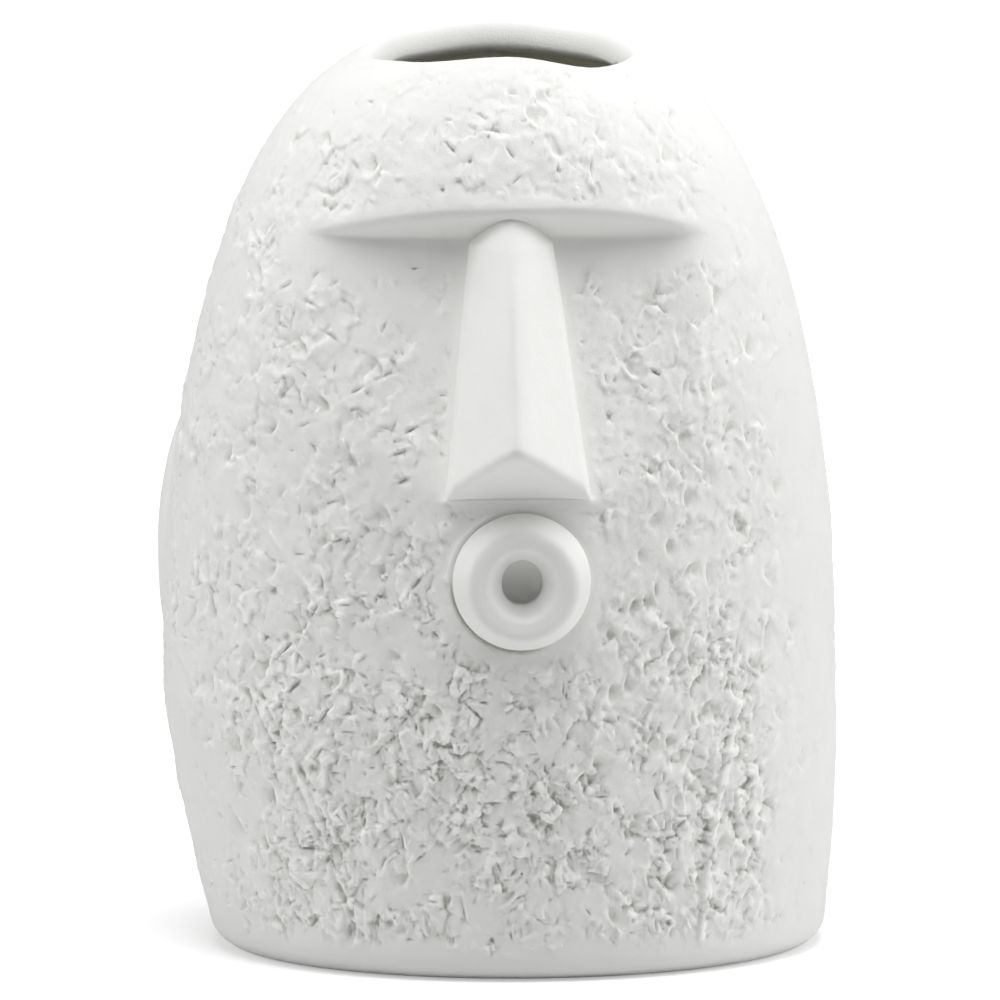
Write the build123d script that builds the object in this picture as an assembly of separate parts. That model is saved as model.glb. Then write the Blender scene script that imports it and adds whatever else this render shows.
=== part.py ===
"""Face vase in white bisque stoneware.

A slip-cast head stands on a foot ring and is open at its crown. Its front is cut back below the brow, and a wedge
nose, a mouth ring and two ears, made apart, are luted on to the shell with slip. The inside has a fired glaze.
Millimetres, +Z up, the face looks along -Y. The origin is on the ground, midway between the nose's tip and the back.
"""

import os
from math import copysign, cos, hypot, radians, sin, sqrt, tan

from build123d import *

# Shell
CROWN_HEIGHT = 202.0  # where the dome would close without its opening
BELLY_HEIGHT = 57.0  # the widest level
BELLY_WIDTH = 146.6
BELLY_DEPTH = 112.0
FOOT_WIDTH = 132.0
FOOT_DEPTH = 104.0
FOOT_SHIFT = 4.4  # how far the foot stands to the right of the crown
FOOT_ROUNDING = 5.5
FOOT_RING_WIDTH = 9.0
FOOT_RECESS = 1.5
WALL = 5.0
FLOOR = 6.0
FLOOR_ROUNDING = 5.0
GLAZE = 0.5

# Powers of the height and of the reach in the dome's outline, as in a superellipse, and of the drop to the foot
WIDTH_POWERS = (2.15, 2.9)
DEPTH_POWERS = (3.2, 2.9)
FOOT_POWER = 1.5

# Opening in the crown
OPENING_WIDTH = 56.0
OPENING_DEPTH = 46.0
RIM_ROUNDING = 2.0

# Brow and face
BROW_DROP = 41.0  # from the crown to the inside corner below the brow
BROW_OVERHANG = 10.5
BROW_SLOPE = 41.0  # degrees that the brow's underside rises towards the front
FACE_RUN_OUT = 2.4  # from the nose's base to where the cut-back face runs out into the belly
FACE_RADIUS = 170.0  # roundness of the face from cheek to cheek
FACE_SHIFT = -2.5  # the roundness is centred to the left of the nose, so the brow reaches further there

# Nose
NOSE_WIDTH = 31.4
NOSE_BRIDGE_WIDTH = 17.6
NOSE_BASE_HEIGHT = 106.4
NOSE_REACH = 15.5
NOSE_TIP_RISE = 12.3
NOSE_SIDE = 1.5  # height of the side walls over the face
NOSE_ROUNDING = 0.9

# Mouth ring
MOUTH_GAP = 3.0  # from the nose's base to the ring
MOUTH_SHIFT = 1.4
MOUTH_DIAMETER = 29.8
MOUTH_CREST_DIAMETER = 23.4
MOUTH_FUNNEL_DIAMETER = 14.0
MOUTH_HOLE_DIAMETER = 9.2
MOUTH_REACH = 7.0
MOUTH_DISH = 0.9
MOUTH_FUNNEL_DEPTH = 2.6
MOUTH_EDGE = 1.0  # how far the ring's straight side stands over its seat's edge
MOUTH_ROUNDING = 0.9
MOUTH_RECESS = 2.0  # how far the hole goes on into the wall
LUTE_GAP = 0.2  # seam round the ring
LUTE_DEPTH = 0.4  # how far the ring's seat is let in at its shallowest

# Ears
EAR_LENGTH = 80.0
EAR_BREADTH = 30.0
EAR_HEIGHT = 84.0  # of its middle
EAR_SETBACK = 16.0
EAR_PROUD = 4.2

# Gouges that the chisel left in the front, spread evenly by steps of the golden ratio
GOUGE_COUNT = 120  # before those that would meet another feature are left out
GOUGE_SWEEP = 62.0  # degrees to each side of the middle of the face
GOUGE_RADIUS = 4.2
GOUGE_DEPTH = 1.0
GOUGE_TILT = 13.0  # degrees that a stroke climbs out of the skin
GOUGE_LENGTH = 12.0
GOUGE_LEAN = 50.0  # degrees that strokes lean at most from the level
GOUGE_CLEARANCE = 7.0  # from a gouge's middle to the nose, the mouth, the brow's edge, the rim and the foot
GOLDEN_STEPS = (0.618034, 0.754878)

# Levels of the lofted sections, as shares of the foot's rise and of the dome's
FOOT_LEVELS = (0.0, 0.34, 0.67)
DOME_LEVELS = (0.0, 0.22, 0.42, 0.58, 0.71, 0.81, 0.88, 0.93, 0.965, 0.986)

DOME_RISE = CROWN_HEIGHT - BELLY_HEIGHT
BROW_HEIGHT = CROWN_HEIGHT - BROW_DROP
FACE_FOOT_HEIGHT = NOSE_BASE_HEIGHT - FACE_RUN_OUT
MOUTH_HEIGHT = NOSE_BASE_HEIGHT - MOUTH_GAP - MOUTH_DIAMETER / 2
CUT_MARGIN = 40.0  # how far cutting solids reach past what they cut
FACE_SWEEP = 70.0  # degrees, well past both cheeks
SLOPE_STEP = 0.01
BROW_EDGE_STEPS = 12


def reach_at(height, belly_reach, foot_reach, powers):
    """Half the shell's width or depth at a height."""
    if height < BELLY_HEIGHT:
        drop = (BELLY_HEIGHT - height) / BELLY_HEIGHT
        return belly_reach - (belly_reach - foot_reach) * drop**FOOT_POWER
    rise = (height - BELLY_HEIGHT) / DOME_RISE
    return belly_reach * (1 - rise ** powers[0]) ** (1 / powers[1])


def half_width(height):
    return reach_at(height, BELLY_WIDTH / 2, FOOT_WIDTH / 2, WIDTH_POWERS)


def half_depth(height):
    return reach_at(height, BELLY_DEPTH / 2, FOOT_DEPTH / 2, DEPTH_POWERS)


def middle_at(height):
    """Sideways place of a section's middle: below the belly the shell leans to its foot."""
    return FOOT_SHIFT * max(0.0, 1 - height / BELLY_HEIGHT)


def slope_at(profile, height):
    return (profile(height + SLOPE_STEP) - profile(height - SLOPE_STEP)) / (2 * SLOPE_STEP)


def face_at(height):
    """Y of the leaning face in the middle."""
    corner = BROW_OVERHANG - half_depth(BROW_HEIGHT)
    run_out = -half_depth(FACE_FOOT_HEIGHT)
    share = (BROW_HEIGHT - height) / (BROW_HEIGHT - FACE_FOOT_HEIGHT)
    return corner + (run_out - corner) * share


def brow_edge_height():
    """Height where the brow's underside comes out of the forehead, in the middle."""
    height = BROW_HEIGHT
    for _ in range(BROW_EDGE_STEPS):
        height = BROW_HEIGHT + (half_depth(height) + face_at(BROW_HEIGHT)) * tan(radians(BROW_SLOPE))
    return height


def front_at(across, height):
    """Forward reach of the shell, cut face included, at a place across it."""
    reach = half_depth(height) * sqrt(1 - ((across - middle_at(height)) / half_width(height)) ** 2)
    if FACE_FOOT_HEIGHT < height < BROW_HEIGHT:
        return min(reach, -face_at(height))
    return reach


def section(height, inset):
    """Ellipse of the shell at a height, moved inwards square to the surface by the inset."""
    width_slope = slope_at(half_width, height)
    depth_slope = slope_at(half_depth, height)
    width_length = hypot(1, width_slope)
    depth_length = hypot(1, depth_slope)
    lift = (width_slope / width_length + depth_slope / depth_length) / 2
    ellipse = Ellipse(half_width(height) - inset / width_length, half_depth(height) - inset / depth_length)
    return Pos(middle_at(height), 0, height + inset * lift) * ellipse


def foot_section(height, inset):
    """Flat ellipse that closes a loft at its lowest level."""
    return Pos(middle_at(height), 0, height) * Ellipse(half_width(height) - inset, half_depth(height) - inset)


def lofted_head(floor, inset, rounding):
    """Head-shaped solid on a flat floor, inset from the shell's outside."""
    sections = [foot_section(floor, inset)]
    sections += [section(share * BELLY_HEIGHT, inset) for share in FOOT_LEVELS[1:]]
    sections += [section(BELLY_HEIGHT + share * DOME_RISE, inset) for share in DOME_LEVELS]
    head = loft(sections)
    return fillet(head.faces().sort_by(Axis.Z)[0].edges(), rounding)


def face_cutter(inset):
    """What is cut away in front of the face, turned about an upright axis far behind it."""
    corner = face_at(BROW_HEIGHT)
    front = -BELLY_DEPTH / 2 - CUT_MARGIN
    underside = BROW_HEIGHT + (corner - front) * tan(radians(BROW_SLOPE))
    lean = slope_at(face_at, BROW_HEIGHT)
    profile = make_face(
        Polyline((corner, BROW_HEIGHT), (front, underside), (front, BROW_HEIGHT + (front - corner) / lean), close=True)
    )
    if inset:
        profile = offset(profile, inset, kind=Kind.INTERSECTION)
    axis = Axis((FACE_SHIFT, corner + FACE_RADIUS, 0), (0, 0, 1))
    return revolve(Plane.YZ.offset(FACE_SHIFT) * profile, axis, FACE_SWEEP).rotate(axis, -FACE_SWEEP / 2)


def skin_at(turn, height):
    """Point of the shell's skin, cut face included, at a turn in degrees from the middle of the face."""
    across = middle_at(height) + half_width(height) * sin(radians(turn))
    y = -half_depth(height) * cos(radians(turn))
    if height < BROW_HEIGHT:
        centre = face_at(BROW_HEIGHT) + FACE_RADIUS
        y = max(y, centre - sqrt((centre - face_at(height)) ** 2 - (across - FACE_SHIFT) ** 2))
    return Vector(across, y, height)


def takes_gouge(place):
    """Whether a gouge at a place stays clear of what is luted on, the brow, the rim and the foot."""
    half_nose = NOSE_WIDTH / 2 + GOUGE_CLEARANCE
    by_nose = abs(place.X) < half_nose and NOSE_BASE_HEIGHT - GOUGE_CLEARANCE < place.Z < BROW_HEIGHT
    from_mouth = hypot(place.X - MOUTH_SHIFT, place.Z - MOUTH_HEIGHT)
    by_mouth = from_mouth < MOUTH_DIAMETER / 2 + GOUGE_CLEARANCE
    by_brow = -2 * GOUGE_CLEARANCE < place.Z - BROW_HEIGHT < brow_edge_height() - BROW_HEIGHT + GOUGE_CLEARANCE
    return not (by_nose or by_mouth or by_brow)


def gouges():
    """Round-bottomed strokes that start at a step and climb out of the skin, away from the middle of the face."""
    low = FOOT_ROUNDING + GOUGE_CLEARANCE
    high = CROWN_HEIGHT - 2 * GOUGE_CLEARANCE
    strokes = []
    for count in range(GOUGE_COUNT):
        spread, lean = (count * step % 1 * 2 - 1 for step in GOLDEN_STEPS)
        turn = GOUGE_SWEEP * spread
        side = copysign(1, turn)
        height = low + (high - low) * count / GOUGE_COUNT
        place = skin_at(turn, height)
        level = skin_at(turn + side, height) - skin_at(turn - side, height)
        upwards = skin_at(turn, height + 1) - skin_at(turn, height - 1)
        outwards = level.cross(upwards).normalized() * side
        if takes_gouge(place):
            along = level.normalized().rotate(Axis((0, 0, 0), outwards), GOUGE_LEAN * lean)
            climb = along * cos(radians(GOUGE_TILT)) + outwards * sin(radians(GOUGE_TILT))
            start = Plane(place + outwards * (GOUGE_RADIUS - GOUGE_DEPTH), z_dir=climb)
            strokes.append(start * extrude(Circle(GOUGE_RADIUS), GOUGE_LENGTH))
    return strokes


def outer_form():
    """The head as a full solid, with its face cut back."""
    return lofted_head(0, 0, FOOT_ROUNDING) - face_cutter(0)


def cavity(inset):
    """The hollow left inside a wall, lined to the inset."""
    floor = FLOOR + inset - WALL
    return lofted_head(floor, inset, FLOOR_ROUNDING) - face_cutter(inset)


def opening():
    """Upright hole through the crown."""
    hole = Ellipse(OPENING_WIDTH / 2, OPENING_DEPTH / 2)
    return Pos(0, 0, CROWN_HEIGHT - CUT_MARGIN) * extrude(hole, 2 * CUT_MARGIN)


def mouth_seat_reach():
    """Forward reach of the ring's flat seat: let in below the shell's surface all round the ring."""
    radius = MOUTH_DIAMETER / 2
    edge = [front_at(MOUTH_SHIFT + side * radius, MOUTH_HEIGHT) for side in (-1, 1)]
    edge += [front_at(MOUTH_SHIFT, MOUTH_HEIGHT + side * radius) for side in (-1, 1)]
    return min(edge) - LUTE_DEPTH


def mouth_plane():
    """Plane of the ring's seat, facing the way the mouth looks."""
    return Plane((MOUTH_SHIFT, -mouth_seat_reach(), MOUTH_HEIGHT), x_dir=(1, 0, 0), z_dir=(0, -1, 0))


def body_shell():
    ring_inset = FOOT_ROUNDING + FOOT_RING_WIDTH
    recess = Ellipse(FOOT_WIDTH / 2 - ring_inset, FOOT_DEPTH / 2 - ring_inset)
    shell = outer_form() - cavity(WALL) - opening()
    rim = shell.edges().sort_by(Axis.Z)[-1]
    shell = fillet(rim, RIM_ROUNDING)
    shell -= Pos(middle_at(0), 0, 0) * extrude(recess, FOOT_RECESS)
    shell -= mouth_plane() * extrude(Circle(MOUTH_DIAMETER / 2 + LUTE_GAP), CUT_MARGIN)
    shell -= mouth_plane() * extrude(Circle(MOUTH_HOLE_DIAMETER / 2), -MOUTH_RECESS)
    return shell - gouges()


def inner_glaze():
    """Glaze over the whole inside, up to the opening."""
    return cavity(WALL) - cavity(WALL + GLAZE) - opening()


def nose_section(half, ridge, side, back):
    """Five-cornered section of the nose; ridge, side and back are its corners' (Y, Z)."""
    corners = [(0, *ridge), (half, *side), (half, *back), (-half, *back), (-half, *side)]
    return make_face(Polyline(*corners, close=True))


def nose():
    """Wedge of two facets and a sloping underside, fitted to the face and brow behind it."""
    base = face_at(NOSE_BASE_HEIGHT)
    tip = (base - NOSE_REACH, NOSE_BASE_HEIGHT + NOSE_TIP_RISE)
    top = brow_edge_height()
    back = face_at(BROW_HEIGHT) + BROW_OVERHANG
    narrowing = (NOSE_WIDTH - NOSE_BRIDGE_WIDTH) / 2 / (BROW_HEIGHT - NOSE_BASE_HEIGHT)
    top_half = NOSE_WIDTH / 2 - narrowing * (top - NOSE_BASE_HEIGHT)
    upper = nose_section(top_half, (-half_depth(top), top), (face_at(top) - NOSE_SIDE, top), (back, top))

    def underside(y):
        return (y, NOSE_BASE_HEIGHT - (y - base) * NOSE_TIP_RISE / NOSE_REACH)

    lower = nose_section(NOSE_WIDTH / 2, tip, underside(base - NOSE_SIDE), underside(back))
    wedge = loft([upper, lower], ruled=True)
    hidden = wedge.faces().sort_by(Axis.Y)[-1].edges() + wedge.faces().sort_by(Axis.Z)[-1].edges()
    shown = [edge for edge in wedge.edges() if edge not in hidden]
    return fillet(shown, NOSE_ROUNDING) - outer_form()


def mouth_ring():
    """Turned ring with a bevelled outside, a dished front and a funnel into its hole."""
    let_in = front_at(MOUTH_SHIFT, MOUTH_HEIGHT) - mouth_seat_reach()
    crest = let_in + MOUTH_REACH
    dish = crest - MOUTH_DISH
    hole = MOUTH_HOLE_DIAMETER / 2
    outline = make_face(
        Polyline(
            (hole, 0),
            (MOUTH_DIAMETER / 2, 0),
            (MOUTH_DIAMETER / 2, let_in + MOUTH_EDGE),
            (MOUTH_CREST_DIAMETER / 2, crest),
            (MOUTH_FUNNEL_DIAMETER / 2, dish),
            (hole, dish - MOUTH_FUNNEL_DEPTH),
            close=True,
        )
    )
    outline = fillet([corner for corner in outline.vertices() if corner.Y > 0], MOUTH_ROUNDING)
    return mouth_plane() * revolve(Plane.XZ * outline, Axis.Z)


def half_ellipse(across, along):
    """Right half of an ellipse, with its flat side on the long axis."""
    bow = EllipticalCenterArc((0, 0), across, along, start_angle=-90, arc_size=180)
    return make_face(bow + Line(bow @ 1, bow @ 0))


def ear(side):
    """Long smooth swelling on one side of the head, fitted to the shell behind it."""
    shell_reach = half_width(EAR_HEIGHT) * sqrt(1 - (EAR_SETBACK / half_depth(EAR_HEIGHT)) ** 2)
    spindle = revolve(Plane.XZ * half_ellipse(EAR_BREADTH / 2, EAR_LENGTH / 2), Axis.Z)
    if side < 0:
        spindle = Rot(0, 0, 180) * spindle
    return Pos(side * (shell_reach + EAR_PROUD - EAR_BREADTH / 2), EAR_SETBACK, EAR_HEIGHT) * spindle - outer_form()


def main():
    os.makedirs("parts", exist_ok=True)
    pieces = {
        "body_shell": body_shell(),
        "inner_glaze": inner_glaze(),
        "nose": nose(),
        "mouth_ring": mouth_ring(),
        "left_ear": ear(-1),
        "right_ear": ear(1),
    }
    nose_tip = face_at(NOSE_BASE_HEIGHT) - NOSE_REACH
    to_origin = Pos(0, -(BELLY_DEPTH / 2 + nose_tip) / 2, 0)
    for name, piece in pieces.items():
        export_step(to_origin * piece, f"parts/{name}.step")
        print(name, round(piece.volume), "mm3")


main()
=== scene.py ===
"""Looks of the face vase: a chiselled head in white bisque, glazed inside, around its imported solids."""

import logging
import math
from dataclasses import dataclass, field
from enum import Enum

import bpy
import numpy as np
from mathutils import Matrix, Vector


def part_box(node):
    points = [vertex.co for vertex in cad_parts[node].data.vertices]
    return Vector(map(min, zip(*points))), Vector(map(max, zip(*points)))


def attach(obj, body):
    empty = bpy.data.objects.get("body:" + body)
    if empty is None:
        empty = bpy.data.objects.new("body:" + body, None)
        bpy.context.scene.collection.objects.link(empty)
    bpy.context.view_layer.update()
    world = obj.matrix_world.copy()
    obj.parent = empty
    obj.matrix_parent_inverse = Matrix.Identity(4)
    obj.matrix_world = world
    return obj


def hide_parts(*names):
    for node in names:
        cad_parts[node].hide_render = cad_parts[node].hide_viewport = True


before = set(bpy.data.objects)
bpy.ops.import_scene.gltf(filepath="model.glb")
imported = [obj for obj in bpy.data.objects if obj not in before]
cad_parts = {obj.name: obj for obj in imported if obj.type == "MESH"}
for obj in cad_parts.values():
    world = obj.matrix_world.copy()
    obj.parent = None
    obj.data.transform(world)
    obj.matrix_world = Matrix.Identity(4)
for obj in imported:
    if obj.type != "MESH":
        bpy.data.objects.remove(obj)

LOG = logging.getLogger("face_vase")
MM = 0.001
BODY = "root"
WHITE = (1.0, 1.0, 1.0, 1.0)
FAR = 99.0
"""Distance in millimetres that counts as out of reach."""
Array = np.ndarray
Piece = bpy.types.Object
Pair = tuple[float, float]
Triple = tuple[float, float, float]
Colour = tuple[float, float, float, float]


class Side(Enum):
    """Side of the head, as seen by someone who looks at the face."""

    LEFT = -1
    RIGHT = 1


class Mark(Enum):
    """Mark that the chisel leaves in the skin of the stone."""

    GOUGE = "round stroke that starts at a step and climbs out"
    SCOOP = "lopsided chip"
    SLIT = "narrow cut"
    PIT = "small hole"


@dataclass(frozen=True)
class Stroke:
    """Bold mark on the front: X and Z of its place and its size in millimetres, lean in degrees."""

    across: float
    height: float
    long: float
    wide: float
    deep: float
    lean: float = 0.0


BOLD_STROKES: dict[Mark, tuple[Stroke, ...]] = {
    Mark.SLIT: (
        Stroke(-11, 43, 4.0, 0.6, 0.7, 55),
        Stroke(-5, 40, 4.0, 0.8, 0.7),
        Stroke(-3, 49, 4.0, 0.7, 0.6, -10),
        Stroke(-24, 31, 5.5, 0.6, 0.8, -80),
        Stroke(-20, 28, 3.5, 0.6, 0.7, 40),
        Stroke(-14, 34, 3.0, 0.8, 0.7, 50),
        Stroke(12, 28, 4.0, 0.8, 0.8, -70),
        Stroke(-11, 16, 6.5, 0.7, 0.7, -80),
        Stroke(-49, 72, 4.0, 0.8, 0.8, 40),
        Stroke(-43, 81, 3.5, 0.8, 0.8, 50),
        Stroke(-41, 87, 4.0, 0.7, 0.7, -85),
        Stroke(-41, 58, 4.5, 0.8, 0.8, 50),
        Stroke(-42, 50, 4.0, 0.8, 0.8, 50),
        Stroke(-21, 88, 5.0, 1.0, 0.7, 50),
        Stroke(-48, 150, 4.0, 0.7, 0.6, 35),
        Stroke(-43, 147, 5.0, 0.7, 0.5, -30),
        Stroke(-34, 145, 5.0, 0.7, 0.5, -30),
        Stroke(-28, 132, 5.0, 0.8, 0.6, 25),
        Stroke(-22, 121, 4.0, 0.8, 0.7, 30),
        Stroke(-13, 181, 4.5, 0.7, 0.7, -45),
        Stroke(31, 41, 3.5, 0.8, 0.8, -65),
        Stroke(21, 123, 3.0, 0.9, 0.7, -55),
        Stroke(31, 132, 3.0, 0.9, 0.7, -35),
    ),
    Mark.SCOOP: (
        Stroke(-47, 64, 5.0, 1.7, 1.3, 40),
        Stroke(-47, 79, 3.5, 1.1, 0.8, -60),
        Stroke(-44, 68, 3.0, 1.2, 0.9, -60),
        Stroke(-64, 79, 8.0, 1.6, 0.7, -75),
        Stroke(-39, 140, 4.5, 1.2, 0.6, -40),
        Stroke(-27, 121, 5.0, 1.2, 0.6, -20),
        Stroke(-25, 116, 4.5, 1.2, 0.8, 20),
        Stroke(-43, 116, 3.5, 1.8, 0.9, -65),
        Stroke(-24, 110, 3.5, 1.8, 0.9, 25),
        Stroke(-33, 176, 6.0, 1.4, 0.6, -35),
        Stroke(-6, 187, 4.0, 1.4, 0.7, -40),
        Stroke(41, 27, 3.0, 1.4, 0.9, -60),
    ),
    Mark.GOUGE: (
        Stroke(37, 129, 3.0, 6.0, 0.8, -12),
        Stroke(36, 118, 3.0, 6.0, 0.8, 5),
        Stroke(37, 105, 3.5, 6.0, 0.9, 5),
        Stroke(33, 95, 3.5, 5.0, 0.9),
        Stroke(42, 88, 3.0, 8.0, 0.7, 8),
        Stroke(28, 83, 3.5, 5.0, 1.0, 5),
        Stroke(20, 76, 2.5, 3.5, 0.7, 5),
        Stroke(34, 75, 3.0, 5.0, 1.0, 12),
        Stroke(38, 71, 2.5, 8.0, 0.8, 5),
        Stroke(28, 68, 3.0, 4.5, 1.0, 5),
        Stroke(24, 65, 3.0, 4.5, 0.9),
        Stroke(19, 57, 3.0, 4.0, 0.8),
        Stroke(33, 52, 3.0, 4.5, 0.9, 8),
        Stroke(17, 48, 3.0, 5.0, 0.9, 12),
        Stroke(10, 39, 3.0, 5.0, 0.8, 12),
        Stroke(35, 39, 3.0, 4.5, 0.8, 5),
        Stroke(24, 33, 3.5, 4.5, 0.8, -15),
        Stroke(33, 27, 3.0, 4.5, 0.8, 8),
        Stroke(-51, 85, 3.0, 4.0, 0.7, 215),
        Stroke(-14, 18, 3.0, 4.5, 0.7, 165),
    ),
    Mark.PIT: (
        Stroke(4, 42, 1.5, 1.4, 0.8),
        Stroke(-9, 178, 1.4, 1.0, 0.8, 60),
        Stroke(-29, 176, 1.8, 1.2, 0.8, 60),
        Stroke(-15, 172, 1.4, 1.1, 0.7, 60),
    ),
}
"""The boldest marks of the photograph; a gouge's place is the middle of its step."""


@dataclass(frozen=True)
class JawLine:
    """Groove or ridge along the jaw: X and Z of its bends, half its width and its rise."""

    bends: tuple[Pair, ...]
    half: float
    rise: float


JAW_LINES: tuple[JawLine, ...] = (
    JawLine(((-65, 89), (-64, 80), (-62, 72)), 0.8, -0.6),
    JawLine(((-55, 63), (-52, 58), (-50, 52)), 0.55, -0.75),
    JawLine(((-57, 62), (-54, 56), (-51, 50)), 0.6, -0.75),
    JawLine(((-48, 45), (-43, 34), (-38, 21), (-32, 8)), 0.7, -0.7),
    JawLine(((-46, 46), (-41, 35), (-35, 22)), 0.5, -0.5),
    JawLine(((-52, 97), (-46, 89), (-41, 83)), 0.8, 0.5),
    JawLine(((49, 59), (46, 44), (43, 28), (41, 8)), 1.0, 0.75),
    JawLine(((56, 77), (55, 69), (51, 63), (48, 50)), 0.6, -0.4),
    JawLine(((51, 81), (49, 73), (46, 60)), 0.6, -0.35),
)


@dataclass(frozen=True)
class FacePlan:
    """Places and sizes of the luted features, which the head and the pieces share, in millimetres."""

    nose_base: float = 106.4
    nose_top: float = 168.1
    nose_half: Pair = (15.7, 7.9)
    nose_lean: float = 0.7
    mouth: Pair = (1.4, 88.5)
    mouth_radius: float = 14.9
    mouth_seat: float = -53.85
    ear_half: Pair = (15.0, 40.0)
    ear_height: float = 84.0
    ear_setback: float = 16.0


FACE = FacePlan()


def ramp(value: Array, start: float, end: float) -> Array:
    """Smooth step from 0 at the start to 1 at the end."""
    share = np.clip((value - start) / (end - start), 0.0, 1.0)
    return share * share * (3.0 - 2.0 * share)


def soft_max(first: Array, second: Array, softness: float | Array) -> Array:
    """Larger of two values, with a rounded change from one to the other."""
    near = np.clip(1 - np.abs(first - second) / softness, 0.0, 1.0)
    return np.maximum(first, second) + softness * near**2 / 4


def bell(gap: Array, width: float) -> Array:
    """Rounded bump that is 1 where the gap is 0 and fades over about the width."""
    return np.exp(-((gap / width) ** 2))


def bend(start: Array, corner: Array, end: Array, share: float | Array) -> Array:
    """Place on the curve that rounds a corner, at a share of the way from start to end."""
    return (1 - share) ** 2 * start + 2 * share * (1 - share) * corner + share**2 * end


def deselect() -> None:
    """Leaves object mode with nothing selected."""
    if bpy.context.object and bpy.context.object.mode != "OBJECT":
        bpy.ops.object.mode_set(mode="OBJECT")
    bpy.ops.object.select_all(action="DESELECT")


def read_points(piece: Piece) -> Array:
    """Reads the vertices of a piece.

    Args:
        piece: The mesh object.

    Returns:
        One point in metres for each vertex.
    """
    points = np.empty(len(piece.data.vertices) * 3)
    piece.data.vertices.foreach_get("co", points)
    return points.reshape(-1, 3)


def write_points(piece: Piece, points: Array) -> None:
    """Moves a piece's vertices to the points, in metres."""
    piece.data.vertices.foreach_set("co", np.ascontiguousarray(points, dtype=np.float32).ravel())
    piece.data.update()


def named(name: str) -> Piece:
    """Gives the object that was added last a name of its own.

    Args:
        name: Name of the object and of its mesh.

    Returns:
        The object.
    """
    piece = bpy.context.object
    piece.name = piece.data.name = name
    return piece


def grid_piece(name: str, points: Array) -> Piece:
    """Adds a grid whose vertices lie at the points.

    Args:
        name: Name of the piece.
        points: Rows and columns of points in millimetres, with the three axes last.

    Returns:
        The new piece.
    """
    rows, columns = points.shape[:2]
    deselect()
    bpy.ops.mesh.primitive_grid_add(x_subdivisions=columns - 1, y_subdivisions=rows - 1, size=1.0)
    piece = named(name)
    write_points(piece, points.reshape(-1, 3) * MM)
    return piece


def apply_modifier(piece: Piece, kind: str, **settings: object) -> None:
    """Adds a modifier with its settings and applies it.

    Args:
        piece: Object that gets the modifier.
        kind: Blender's name for the kind of modifier.
        settings: Values of the modifier's properties.
    """
    modifier = piece.modifiers.new(kind.title(), kind)
    for name, value in settings.items():
        setattr(modifier, name, value)
    bpy.context.view_layer.objects.active = piece
    bpy.ops.object.modifier_apply(modifier=modifier.name)


def hand_in(piece: Piece, finish: bpy.types.Material, node: str) -> None:
    """Dresses a finished piece, lets it ride on the vase and puts it in its solid's place.

    Args:
        piece: The finished mesh object.
        finish: Material of its whole surface.
        node: Solid that the piece stands for.
    """
    piece.data.materials.clear()
    piece.data.materials.append(finish)
    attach(piece, BODY)
    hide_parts(node)
    LOG.info("%s stands for %s, %d faces", piece.name, node, len(piece.data.polygons))


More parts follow.
